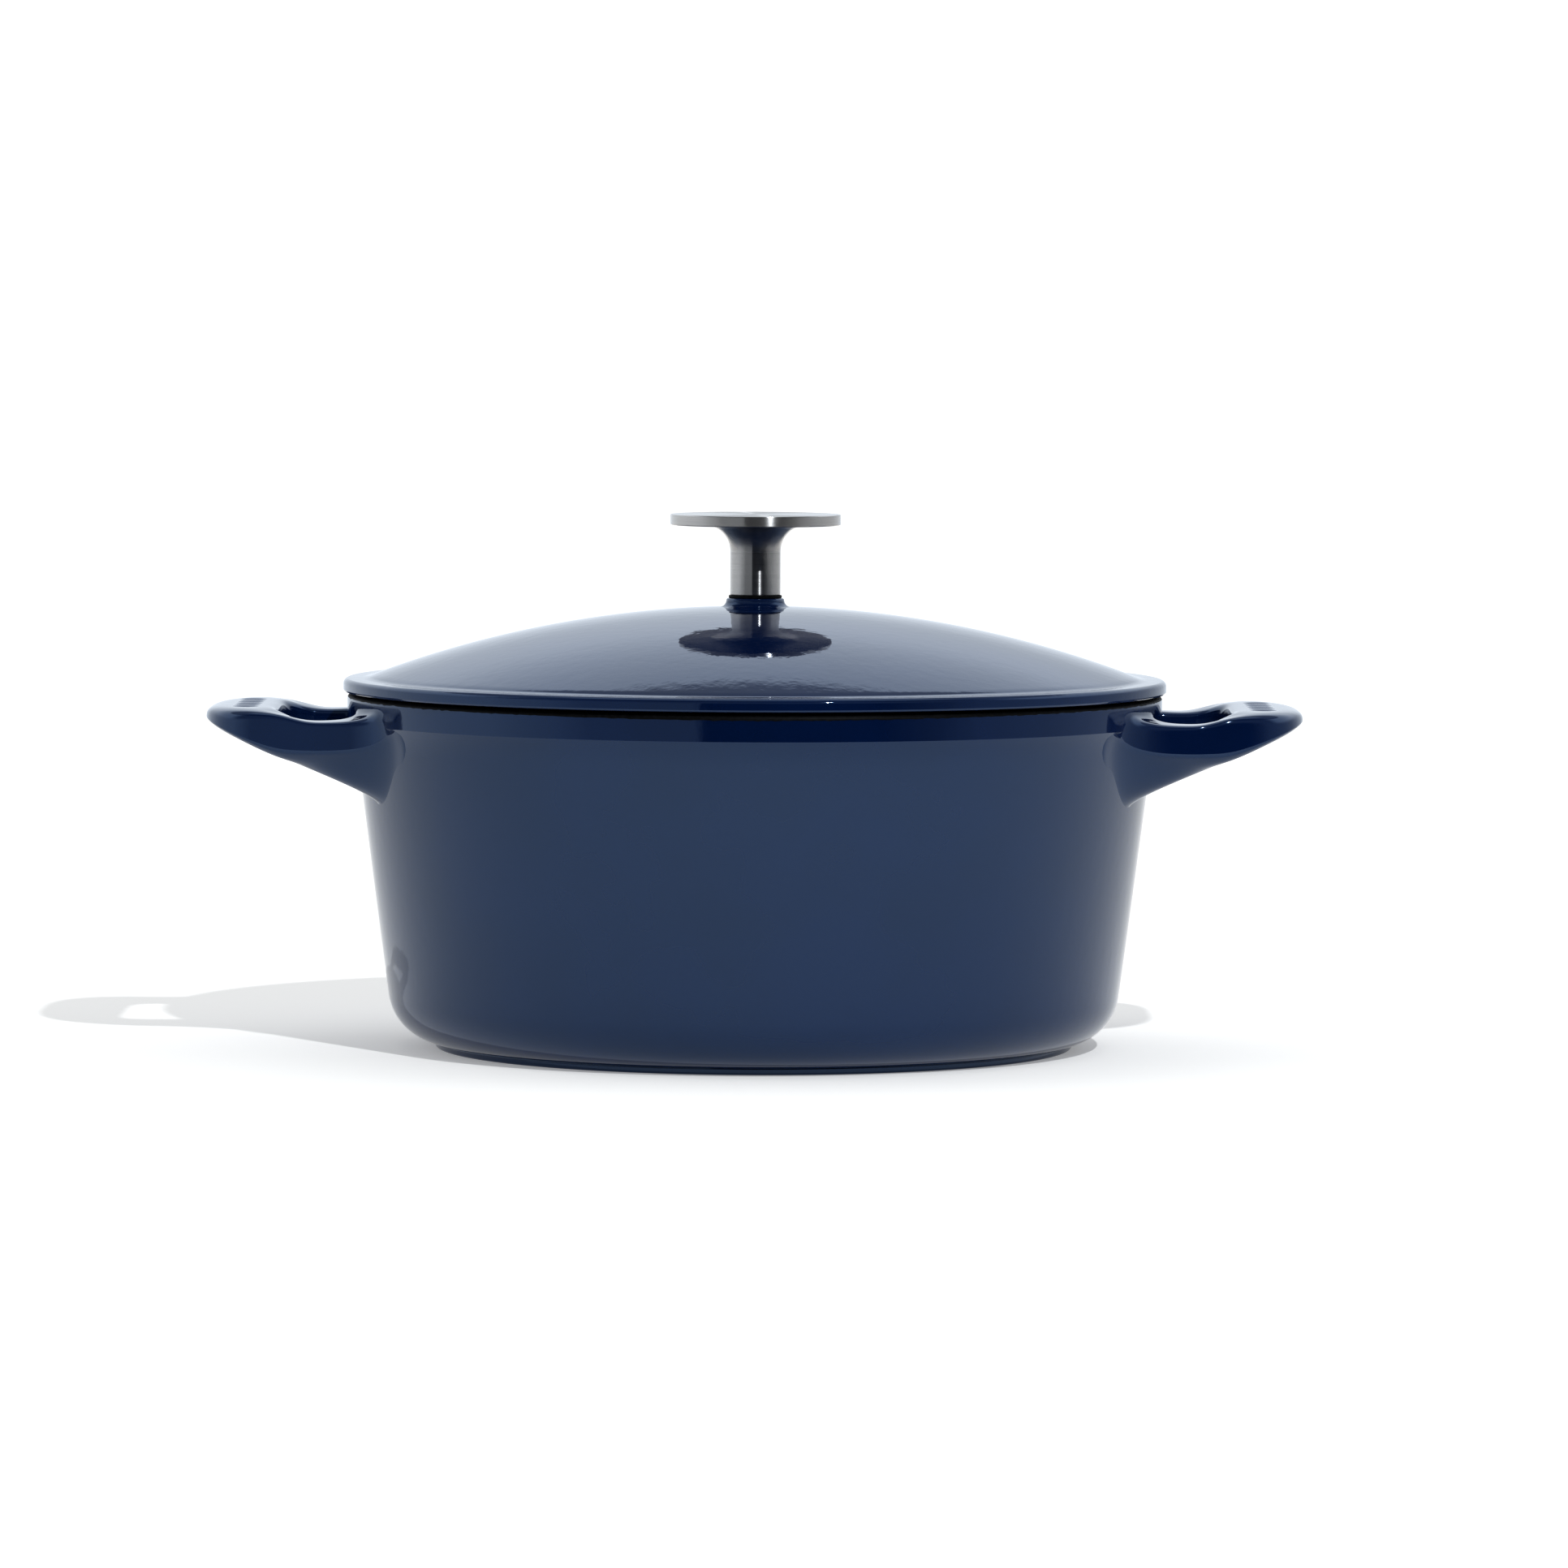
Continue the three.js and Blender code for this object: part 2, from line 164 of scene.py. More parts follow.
BRIGHTEST = 1.5
ROOM_TINT = (0.93, 1, 1.08)
ROUND_THE_HORIZON = [(0, 1.05), (0.28, 0.95), (0.34, 0.65), (0.37, 0.43), (0.455, 0.43), (0.462, 0.01)]
ROUND_THE_HORIZON += [(0.6, 0.01), (0.645, 0.16), (0.68, 0.35), (0.765, 0.5), (0.85, 0.62), (1, 1.05)]
UP_THE_WALLS = [(0, 1.35), (0.64, 1.35), (0.67, 0.5), (0.85, 0.5), (0.92, 1.2), (1, 1.2)]
DIM_FRONT = 0.22
HORIZON_FADES = 0.2, 0.42  # the horizon's ramp gives way to the walls' ramp over these heights
FRONT_FADES = -0.3, 0.1  # and the dimmed front to the full back
BACKDROP = 0.75  # what the camera itself sees, times BRIGHTEST
GAMMA = 0.85


def brightness_ramp(nodes, stops):
    """A colour ramp of cool greys, each divided by BRIGHTEST so that it stays below one."""
    ramp = nodes.new("ShaderNodeValToRGB")
    elements = ramp.color_ramp.elements
    for place_, _ in stops[1:-1]:
        elements.new(place_)
    for element, (_, light) in zip(elements, stops):
        grey = light / BRIGHTEST
        element.color = (*(tint * grey for tint in ROOM_TINT), 1)
    return ramp


def white_room():
    """A world whose light depends on direction: round the horizon first, then up the walls."""
    world = bpy.data.worlds.new("white_room")
    bpy.context.scene.world = world
    world.use_nodes = True
    nodes, links = world.node_tree.nodes, world.node_tree.links

    def calculate(operation, a, b):
        node = nodes.new("ShaderNodeMath")
        node.operation = operation
        for socket, value in zip(node.inputs, (a, b)):
            if isinstance(value, bpy.types.NodeSocket):
                links.new(value, socket)
            else:
                socket.default_value = value
        return node.outputs[0]

    def blend(factor, a, b):
        node = nodes.new("ShaderNodeMix")
        node.data_type = "RGBA"
        links.new(factor, node.inputs["Factor"])
        for name, value in (("A", a), ("B", b)):
            if isinstance(value, bpy.types.NodeSocket):
                links.new(value, node.inputs[name])
            else:
                node.inputs[name].default_value = value
        return node.outputs["Result"]

    split = nodes.new("ShaderNodeSeparateXYZ")
    links.new(nodes.new("ShaderNodeTexCoord").outputs["Generated"], split.inputs[0])
    azimuth = calculate("ARCTAN2", split.outputs["X"], calculate("MULTIPLY", split.outputs["Y"], -1))
    turn = calculate("ADD", calculate("DIVIDE", azimuth, math.tau), 0.5)
    height = calculate("ABSOLUTE", split.outputs["Z"], 0)
    horizon = brightness_ramp(nodes, ROUND_THE_HORIZON)
    walls = brightness_ramp(nodes, UP_THE_WALLS)
    links.new(turn, horizon.inputs[0])
    links.new(height, walls.inputs[0])
    low = nodes.new("ShaderNodeMapRange")
    low.interpolation_type = "SMOOTHSTEP"
    low.inputs["From Min"].default_value, low.inputs["From Max"].default_value = HORIZON_FADES
    links.new(height, low.inputs["Value"])
    front = nodes.new("ShaderNodeMapRange")
    front.interpolation_type = "SMOOTHSTEP"
    front.inputs["From Min"].default_value, front.inputs["From Max"].default_value = FRONT_FADES
    front.inputs["To Min"].default_value = DIM_FRONT
    links.new(split.outputs["Y"], front.inputs["Value"])
    above = blend(front.outputs[0], (0, 0, 0, 1), walls.outputs["Color"])
    room = blend(low.outputs[0], horizon.outputs["Color"], above)
    seen = nodes.new("ShaderNodeLightPath").outputs["Is Camera Ray"]
    backdrop = (BACKDROP, BACKDROP, BACKDROP, 1)
    links.new(blend(seen, room, backdrop), nodes["Background"].inputs["Color"])
    nodes["Background"].inputs["Strength"].default_value = BRIGHTEST


add_floor()
add_key_lamp()
white_room()
bpy.context.scene.view_settings.view_transform = "Standard"
bpy.context.scene.view_settings.gamma = GAMMA
print("floor radius", FLOOR_RADIUS, "m, key lamp", round(KEY_LAMP.length, 2), "m away")

# %% [markdown]
# ## Three helpers for turned work
#
# A potter and a lathe hand both think in profiles: half of a cross-section, swept round the axis. The
# corners of a profile are listed as radius, height and rounding, in millimetres. `draw_profile` walks
# from corner to corner like a pen. It extrudes a vertex along each straight and spins it round each
# rounded corner, so that every arc is a true arc. A Bezier curve could do this too, but the pen keeps the
# exact radii. `turned` then spins the whole chain through a full turn.

# %% Profiles and turning
ARC_STEP = math.radians(6)
LONGEST_ARC, LONGEST_RUN = 3 * MM, 8 * MM


def pen_to(bm, pen, target):
    """Extrude the pen's vertex to target in even steps, none longer than LONGEST_RUN."""
    start = pen.co.copy()
    steps = max(1, math.ceil((target - start).length / LONGEST_RUN))
    for i in range(1, steps + 1):
        pen = bmesh.ops.extrude_vert_indiv(bm, verts=[pen])["verts"][0]
        pen.co = start.lerp(target, i / steps)
    return pen


def draw_profile(bm, corners):
    """A chain of edges in the XZ plane through corners of (radius, height, rounding) in mm."""
    points = [Vector((r, 0, z)) * MM for r, z, _ in corners]
    pen = bm.verts.new(points[0])
    for before, here, after, corner in zip(points, points[1:], points[2:], corners[1:]):
        rounding = corner[2] * MM
        into, out = (here - before).normalized(), (after - here).normalized()
        bend = into.angle(out)
        if not rounding or bend < 1e-4:
            pen = pen_to(bm, pen, here)
            continue
        axis = into.cross(out).normalized()
        start = here - into * rounding * math.tan(bend / 2)
        pen = pen_to(bm, pen, start)
        centre = start + axis.cross(into) * rounding
        steps = max(3, math.ceil(bend / ARC_STEP), math.ceil(bend * rounding / LONGEST_ARC))
        arc = bmesh.ops.spin(bm, geom=[pen], cent=centre, axis=axis, angle=bend, steps=steps)
        pen = next(v for v in arc["geom_last"] if isinstance(v, bmesh.types.BMVert))
    pen_to(bm, pen, points[-1])


def clean(bm):
    """Merge what lies together, then turn every face outwards."""
    bmesh.ops.remove_doubles(bm, verts=bm.verts, dist=1e-6)
    bmesh.ops.recalc_face_normals(bm, faces=bm.faces)


def turned(corners, segments=192, closed=False):
    """A bmesh solid of revolution. A closed profile joins its last corner to its first."""
    bm = bmesh.new()
    chain = [*corners, (*corners[0][:2], 0)] if closed else corners
    draw_profile(bm, chain)
    bmesh.ops.remove_doubles(bm, verts=bm.verts, dist=1e-7)
    geometry = bm.verts[:] + bm.edges[:]
    bmesh.ops.spin(
        bm, geom=geometry, cent=(0, 0, 0), axis=(0, 0, 1), angle=math.tau, steps=segments, use_merge=True
    )
    clean(bm)
    return bm


# %% [markdown]
# `place` turns a bmesh into an object, gives it its finish and ties it to its CAD body. Every piece goes
# through it, so no piece can be left riding on nothing.

# %% Placing a piece
def place(bm, name, body, finish, node=None):
    mesh = bpy.data.meshes.new(name)
    bm.to_mesh(mesh)
    bm.free()
    mesh.shade_smooth()
    mesh.materials.append(finish)
    piece = bpy.data.objects.new(name, mesh)
    bpy.context.scene.collection.objects.link(piece)
    if node:
        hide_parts(node)
    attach(piece, body)
    loose = sum(1 for e in mesh.edges if e.is_loose)
    print(f"{name}: {len(mesh.polygons)} faces, {loose} loose edges, on body {body}")
    return piece


# %% [markdown]
# ## Finishes
#
# Each finish is a Principled shader with a few noise textures on Object coordinates, which are metres
# here, so a noise scale of 400 makes dapples about 2.5 mm wide. A small helper adds a node and sets its
# inputs by name.

# %% Node helpers
def new_material(name):
    material = bpy.data.materials.new(name)
    material.use_nodes = True
    return material, material.node_tree, material.node_tree.nodes["Principled BSDF"]


def add_node(tree, kind, **inputs):
    node = tree.nodes.new(kind)
    for name, value in inputs.items():
        socket = node.inputs[name.replace("_", " ")]
        if isinstance(value, bpy.types.NodeSocket):
            tree.links.new(value, socket)
        else:
            socket.default_value = value
    return node


def object_coordinates(tree):
    return tree.nodes.new("ShaderNodeTexCoord").outputs["Object"]


def add_noise(tree, scale, detail=2.0, vector=None):
    vector = vector or object_coordinates(tree)
    return add_node(tree, "ShaderNodeTexNoise", Vector=vector, Scale=scale, Detail=detail).outputs["Fac"]


def add_bump(tree, height, distance, under=None):
    node = add_node(tree, "ShaderNodeBump", Height=height, Distance=distance)
    if under:
        tree.links.new(under, node.inputs["Normal"])
    return node.outputs["Normal"]


def add_ramp(tree, factor, *stops):
    """A colour ramp with stops of (place, colour)."""
    ramp = add_node(tree, "ShaderNodeValToRGB", Fac=factor)
    ramp.color_ramp.interpolation = "EASE"
    elements = ramp.color_ramp.elements
    while len(elements) < len(stops):
        elements.new(0.5)
    for element, (place_, colour) in zip(elements, stops):
        element.position = place_
        element.color = (*colour, 1)
    return ramp.outputs["Color"]


# %% [markdown]
# Vitreous enamel is glass melted on to iron. Its gloss is nearly perfect, and what gives it away is the
# orange peel: a shallow waviness a few millimetres wide that breaks up the edges of reflections. Two
# bump layers make it. The broad one is three hundredths of a millimetre high and the fine one less than
# one hundredth, times the peel of each finish. The colour itself hardly varies, apart from a slow drift
# where the coat is thicker. The navy glass also colours what it mirrors, so its specular tint is blue.

# %% Enamel finishes
DRIFT_SCALE, GLOSS_SCALE = 22, 60
BROAD_PEEL, BROAD_HEIGHT = 190, 0.00003
FINE_PEEL, FINE_HEIGHT = 520, 0.000008
DULLEST = 1.8  # times the roughness, where the gloss is weakest
GLASS_IOR = 1.5


def enamel(name, dark, light, roughness, peel, tint=(1, 1, 1)):
    material, tree, shader = new_material(name)
    drift = add_noise(tree, DRIFT_SCALE, 3)
    colour = add_ramp(tree, drift, (0.3, dark), (0.7, light))
    tree.links.new(colour, shader.inputs["Base Color"])
    broad = add_bump(tree, add_noise(tree, BROAD_PEEL, 2), BROAD_HEIGHT * peel)
    fine = add_bump(tree, add_noise(tree, FINE_PEEL, 2), FINE_HEIGHT * peel, under=broad)
    tree.links.new(fine, shader.inputs["Normal"])
    gloss = add_node(tree, "ShaderNodeMapRange", Value=add_noise(tree, GLOSS_SCALE, 4))
    gloss.inputs["To Min"].default_value = roughness
    gloss.inputs["To Max"].default_value = roughness * DULLEST
    tree.links.new(gloss.outputs[0], shader.inputs["Roughness"])
    shader.inputs["IOR"].default_value = GLASS_IOR
    shader.inputs["Specular Tint"].default_value = (*tint, 1)
    return material


NAVY_RANGE = (0.0011, 0.0088, 0.043), (0.0014, 0.0108, 0.052)
NAVY_TINT = (0.9, 1.28, 1.85)
POT_NAVY = enamel("pot_navy_enamel", *NAVY_RANGE, 0.03, 1.0, NAVY_TINT)
LID_NAVY = enamel("lid_navy_enamel", *NAVY_RANGE, 0.02, 1.8, NAVY_TINT)
CREAM_RANGE = (0.86, 0.75, 0.57), (0.88, 0.78, 0.61)
CREAM = enamel("cream_enamel", *CREAM_RANGE, 0.06, 1.5)
print("enamels:", POT_NAVY.name, LID_NAVY.name, CREAM.name)


# %% [markdown]
# Where the lid meets the pot the iron has only a ground coat, which is thin, black and matte. Its grain
# is fine enough to see only close up.

# %% Ground coat
COAT_RANGE = (0.002, 0.002, 0.0022), (0.006, 0.006, 0.0065)
COAT_SPECKS, COAT_GRAIN, GRAIN_HEIGHT = 900, 1800, 0.00004


def ground_coat():
    material, tree, shader = new_material("black_ground_coat")
    dark, light = COAT_RANGE
    colour = add_ramp(tree, add_noise(tree, COAT_SPECKS, 4), (0.35, dark), (0.7, light))
    tree.links.new(colour, shader.inputs["Base Color"])
    normal = add_bump(tree, add_noise(tree, COAT_GRAIN, 4), GRAIN_HEIGHT)
    tree.links.new(normal, shader.inputs["Normal"])
    shader.inputs["Roughness"].default_value = 0.5
    shader.inputs["Specular IOR Level"].default_value = 0.08
    return material


GROUND_COAT = ground_coat()


# %% [markdown]
# The knob is turned and then brushed on the lathe, so its scratches run round the axis. A noise that
# varies with radius and height but hardly at all round the axis gives such rings: the position is
# reduced to its radius and height before the noise reads it. The Tangent node points the shader's own
# anisotropy round the axis, and a quarter turn stretches the highlights across the rings.

# %% Steel finishes
WARM_GREY = Vector((1.04, 1, 0.96))
LINE_DEPTH = 0.000006
QUARTER_TURN = 0.25


def turned_steel(name, grey, roughness, lines, anisotropy):
    material, tree, shader = new_material(name)
    split = add_node(tree, "ShaderNodeSeparateXYZ", Vector=object_coordinates(tree))
    flat = add_node(tree, "ShaderNodeCombineXYZ", X=split.outputs["X"], Y=split.outputs["Y"])
    radius = tree.nodes.new("ShaderNodeVectorMath")
    radius.operation = "LENGTH"
    tree.links.new(flat.outputs[0], radius.inputs[0])
    distance, height = radius.outputs["Value"], split.outputs["Z"]
    rings = add_node(tree, "ShaderNodeCombineXYZ", X=distance, Y=height)
    line = add_noise(tree, lines, 4, rings.outputs[0])
    warm = WARM_GREY * grey
    colour = add_ramp(tree, line, (0.3, warm * 0.9), (0.7, warm * 1.07))
    tree.links.new(colour, shader.inputs["Base Color"])
    spread = add_node(tree, "ShaderNodeMapRange", Value=line)
    spread.inputs["To Min"].default_value = roughness * 0.75
    spread.inputs["To Max"].default_value = roughness * 1.3
    tree.links.new(spread.outputs[0], shader.inputs["Roughness"])
    tree.links.new(add_bump(tree, line, LINE_DEPTH), shader.inputs["Normal"])
    tangent = tree.nodes.new("ShaderNodeTangent")
    tangent.direction_type = "RADIAL"
    tangent.axis = "Z"
    tree.links.new(tangent.outputs[0], shader.inputs["Tangent"])
    shader.inputs["Metallic"].default_value = 1
    shader.inputs["Anisotropic"].default_value = anisotropy
    shader.inputs["Anisotropic Rotation"].default_value = QUARTER_TURN
    return material


KNOB_STEEL = turned_steel("brushed_stainless", 0.48, 0.24, 4200, 1.0)
SCREW_STEEL = turned_steel("screw_stainless", 0.56, 0.3, 3000, 0.2)
print("steels:", KNOB_STEEL.name, SCREW_STEEL.name)

# %% [markdown]
# ## The pot's wall
#
# The wall leans outwards by about seven and a half degrees, so that the casting leaves its mould. It
# starts at a low foot ring, turns up on an 18 mm radius, and ends in a thickened band that it meets on a
# hollow curve. The profile goes up the outside and comes down inside, under the lining. At the rim the
# iron stops a tenth of a millimetre lower and leaves the lining's thickness free, and the black coat
# covers both.

# %% Pot wall
RIM_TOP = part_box("pot_rim_coat")[1].z / MM
BAND_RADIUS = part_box("pot")[1].y / MM
FOOT_RADIUS = 107.0
WALL_AT_FLOOR = 120.36
DRAFT = 0.1329
WALL = 4.3
FLOOR_TOP = 6.5
BAND_BOTTOM = 109.8
LINING = 0.7
FOOT_TOP, BASE_BOTTOM = 2, 1
OUTSIDE_CORNER, INSIDE_CORNER = 18, 16
FLARE_START, FLARE_HEIGHT, FLARE_LEAN = 101, 8.8, 0.1932
FLARE_CORNER = (134.4, 105.66, 24.8)
RIM_ROUND = 2
RIM_ROUND_START, MOST_RISE = RIM_TOP - 2.1, 1.99  # the rounding ends just short of flat


def wall_radius(z):
    """Outer radius of the sloping wall at a height, in mm."""
    return WALL_AT_FLOOR + DRAFT * z


def casting_radius(z):
    """Outer radius of the pot at a height, with the hollow flare and the rounded rim, in mm."""
    if z > RIM_ROUND_START:
        rise = min(z - RIM_ROUND_START, MOST_RISE)
        return BAND_RADIUS - RIM_ROUND + math.sqrt(RIM_ROUND**2 - rise * rise)
    if z > BAND_BOTTOM - 0.01:
        return BAND_RADIUS
    flare = max(z - FLARE_START, 0)
    return wall_radius(z) + FLARE_HEIGHT * FLARE_LEAN * (flare / FLARE_HEIGHT) ** 2


def pot_wall():
    inside = WALL - LINING
    return turned(
        [
            (0, BASE_BOTTOM, 0),
            (FOOT_RADIUS - 8, BASE_BOTTOM, 0.4),
            (FOOT_RADIUS - 7.2, 0, 0.5),
            (FOOT_RADIUS, 0, 0.8),
            (FOOT_RADIUS, FOOT_TOP, 0.3),
            (wall_radius(FOOT_TOP), FOOT_TOP, OUTSIDE_CORNER),
            FLARE_CORNER,
            (BAND_RADIUS, BAND_BOTTOM, 0.35),
            (BAND_RADIUS, RIM_TOP - 0.1, RIM_ROUND),
            (wall_radius(RIM_TOP) - inside, RIM_TOP - 0.1, 1),
            (wall_radius(FLOOR_TOP) - inside, FLOOR_TOP - LINING, INSIDE_CORNER),
            (0, FLOOR_TOP - LINING, 0),
        ],
        segments=256,
    )


place(pot_wall(), "pot_wall", "pot", POT_NAVY, "pot")


# %% [markdown]
# ## Lining and rim coat
#
# The cream lining is a thin cup inside the wall. It is closed like a real coat, with an inner and an
# outer face, so that it exports as a solid. The black coat covers the rim's flat and curls over its outer
# corner. It reaches lower between the handles than at them, and because it is sprayed and wiped by hand
# its lower edge wanders by a few tenths of a millimetre.

# %% Lining and rim coat
LINING_STANDOFF = 0.05  # how far a lining stands off the iron, so that the two faces never coincide


def pot_lining():
    inner, outer = WALL, WALL - LINING + LINING_STANDOFF
    top = RIM_TOP - 1.2
    return turned(
        [
            (0, FLOOR_TOP, 0),
            (wall_radius(FLOOR_TOP) - inner, FLOOR_TOP, 15.5),
            (wall_radius(top) - inner, top, 0),
            (wall_radius(top) - outer, top, 0),
            (wall_radius(FLOOR_TOP) - outer, FLOOR_TOP - LINING + LINING_STANDOFF, INSIDE_CORNER),
            (0, FLOOR_TOP - LINING + LINING_STANDOFF, 0),
        ]
    )


COAT_SKIN = 0.06
COAT_EDGE, COAT_TURN = RIM_TOP - 2.2, RIM_TOP - 0.4
COAT_LIFT, COAT_WANDER, WANDER_SCALE = 0.9, 0.26, 900


def wipe_edge(bm):
    """Raise the coat's outer edge near the handles, and let it wander, along the rounded rim."""
    for v in bm.verts:
        height, radius = v.co.z / MM, v.co.xy.length / MM
        if height > COAT_TURN or radius < BAND_RADIUS - 2.5:
            continue
        share = (COAT_TURN - height) / (COAT_TURN - COAT_EDGE)
        drift = COAT_WANDER * noise.fractal(v.co.xyz * WANDER_SCALE + Vector((3, 0, 0)), 0.6, 2.2, 4)
        outside = radius > casting_radius(height) - 0.2
        height += share * (COAT_LIFT * abs(v.co.x) / (radius * MM) + drift)
        radius = casting_radius(height) + (COAT_SKIN if outside else -0.4)
        v.co = Vector((*(v.co.xy.normalized() * radius), height)) * MM


def pot_rim_coat():
    inner = wall_radius(RIM_TOP) - WALL - COAT_SKIN
    outer = BAND_RADIUS + COAT_SKIN
    bm = turned(
        [
            (outer, COAT_EDGE, 0),
            (outer, RIM_TOP - 0.05, RIM_ROUND),
            (inner, RIM_TOP - 0.05, 1.1),
            (inner - 0.2, RIM_TOP - 2, 0),
            (inner + 0.5, RIM_TOP - 2, 0),
            (outer - 0.5, COAT_EDGE, 0),
        ],
        segments=600,
        closed=True,
    )
    wipe_edge(bm)
    return bm


place(pot_lining(), "pot_lining_enamel", "pot", CREAM, "pot_lining")
place(pot_rim_coat(), "pot_rim_ground_coat", "pot", GROUND_COAT, "pot_rim_coat")

# %% [markdown]
# ## Loop handles
#
# Each handle is cast in one with the pot: two arms that grow out of the wall and a grip between them,
# with room for fingers inside. A loop like this could be cut from a block with booleans, but the soft
# fillets of a casting are hard to get that way. Here it is lofted instead, like a tube whose section
# changes along the way: one closed loop of vertices is extruded from the wall, out along an arm, round
# the corner and to the middle of the grip. Mirroring gives the other half, and a Subdivision Surface
# rounds everything.
#
# The shape has a few simple rules. In plan it lies between an inner and an outer outline. From the side
# it is a wedge whose underside rises towards the grip. The grip stands about four millimetres above the
# arms. The outer face is upright down to a parting line and slants inwards under it.

# %% Handle rules
TIP = CAD_BOX[1].x / MM
GRIP_TOP, ARM_TOP = 115.0, 111.1
STEP_FROM, STEP_TO = 149.7, 161.0
PARTING_LINE = 100.8
UNDER_ROOT, UNDER_REACH, UNDER_SLOPE = 88, 131, 0.42
SOFTENS, STRAIGHTENS = (152, 176), (148, 168)  # reach over which the edges soften and the slant ends


def ease(x, start, end):
    """0 before start, 1 after end, and smooth between."""
    t = min(max((x - start) / (end - start), 0), 1)
    return t * t * (3 - 2 * t)


def handle_top(x):
    return ARM_TOP + (GRIP_TOP - ARM_TOP) * ease(x, STEP_FROM, STEP_TO)


def handle_under(x):
    return UNDER_ROOT + UNDER_SLOPE * (x - UNDER_REACH)


def handle_section(inner, outer):
    """The loop of twelve points between an inner and an outer plan point, from the inner face upwards."""
    inner, outer = Vector((*inner, 0)), Vector((*outer, 0))
    over = (outer - inner).normalized()
    soft = 1 + 1.7 * ease(outer.x, *SOFTENS)
    slant = 1 - ease((inner.x + outer.x) / 2, *STRAIGHTENS)

    def at(foot, inset, height, drop=0.0):
        spot = foot + over * inset
        spot.z = (height(spot.x) if callable(height) else height) - drop
        return spot

    parting = max(PARTING_LINE, handle_under(outer.x) + 1.2)
    shoulder = max(handle_top(outer.x) - 1.9 * soft, parting + 1.4)
    hole_edge = 0.7 + 0.3 * soft
    return [
        at(inner, 0, handle_top, 2.3 * hole_edge),
        at(inner, 0.4 * hole_edge, handle_top, 0.4 * hole_edge),
        at(inner, 2.3 * hole_edge, handle_top),
        at(inner, (outer - inner).length / 2, handle_top),
        at(outer, -1.9 * soft, handle_top),
        at(outer, -0.36 * soft, handle_top, 0.36 * soft),
        at(outer, 0, shoulder),
        at(outer, 0, parting),
        at(outer, -1.2 - 2.4 * slant, parting - 1.4 - 1.9 * slant),
        at(outer, -6 - 2.6 * slant, handle_under, -0.3),
        at(inner, 3.6, handle_under),
        at(inner, 0.5, handle_under, -3.2),
    ]


# %% [markdown]
# At the wall the loop spreads into a fillet. `ROOT` says where each of the twelve points lands on the
# wall, as distance from the handle's middle and height. Each point then travels on a quadratic curve
# from the wall, past the place where it would meet the wall without a fillet, to the arm. The first loop
# lies inside the wall and the next three close to its surface, so the handle grows out without a step.

# %% Handle root
ROOT = [(31, 107), (32, 112), (36, 115), (44, 115.4), (51, 115.6), (58, 116.4)]
ROOT += [(64, 115), (68.5, 109.5), (67.5, 101.5), (55, 87), (43.5, 80.8), (30, 89.5)]


ROOT_MIDDLE = Vector((0, 46, 100))
WALL_LOOPS = ((4.6, 1.8), (4.2, 0.12), (2, 0.03), (0, 0))  # how far outside ROOT, how deep in the wall
FILLET_LOOPS = (0.16, 0.42, 0.72)  # shares of the way from the wall to the arm


def on_wall(y, z, depth=0.0):
    """The point of the pot's outer surface at a height and a distance from the XZ plane, in mm."""
    radius = casting_radius(z) - depth
    return Vector((math.sqrt(radius * radius - y * y), y, z))


def meet_wall(point, direction):
    """Where a line from a point of the arm runs into the pot's outer surface."""
    near, far = 0.0, 40.0
    for _ in range(30):
        middle = (near + far) / 2
        spot = point + direction * middle
        if math.hypot(spot.x, spot.y) > casting_radius(spot.z):
            near = middle
        else:
            far = middle
    return point + direction * far


def root_loops(arm, beyond):
    """The loops from inside the wall to the first section of the arm."""
    loops = []
    for spread, depth in WALL_LOOPS:
        loop = []
        for y, z in ROOT:
            away = (Vector((0, y, z)) - ROOT_MIDDLE).normalized() * spread
            loop.append(on_wall(y + away.y, min(z + away.z, RIM_TOP - 0.7), depth))
        loops.append(loop)
    corners = [meet_wall(end, (end - next_one).normalized()) for end, next_one in zip(arm, beyond)]
    for t in FILLET_LOOPS:
        loop = []
        for (y, z), corner, end in zip(ROOT, corners, arm):
            loop.append(on_wall(y, z).lerp(corner, t).lerp(corner.lerp(end, t), t))
        loops.append(loop)
    return loops


# %% [markdown]
# The loft itself: a circle of twelve vertices becomes the first loop, and each later loop is an
# `extrude_edge_only` of the one before. Edges along the parting line get a crease, which keeps them
# crisp under the subdivision.

# %% Handle loft
ARM_STATIONS = [
    ((143, 35.5), (142, 51.6)),
    ((147.5, 35.5), (149, 50.2)),
    ((152, 34.8), (158, 49)),
    ((156, 31.5), (169.5, 46.3)),
    ((158.4, 26.5), (178.6, 38.2)),
    ((159, 18), (TIP - 0.8, 24.5)),
    ((159, 9), (TIP, 11.5)),
    ((159, 0), (TIP, 0)),
]
PARTING_POINT = 7  # of the twelve points of a section
PARTING_CREASE = 0.75


def extrude_loop(bm, loop, target):
    """Extrude a closed loop of vertices and put the new one on the target points, in mm."""
    edges = [bm.edges.get(pair) for pair in zip(loop, loop[1:] + loop[:1])]
    made = bmesh.ops.extrude_edge_only(bm, edges=edges)["geom"]
    fresh = {v for v in made if isinstance(v, bmesh.types.BMVert)}
    following = []
    for old, point in zip(loop, target):
        new = next(e.other_vert(old) for e in old.link_edges if e.other_vert(old) in fresh)
        new.co = point * MM
        following.append(new)
    return following


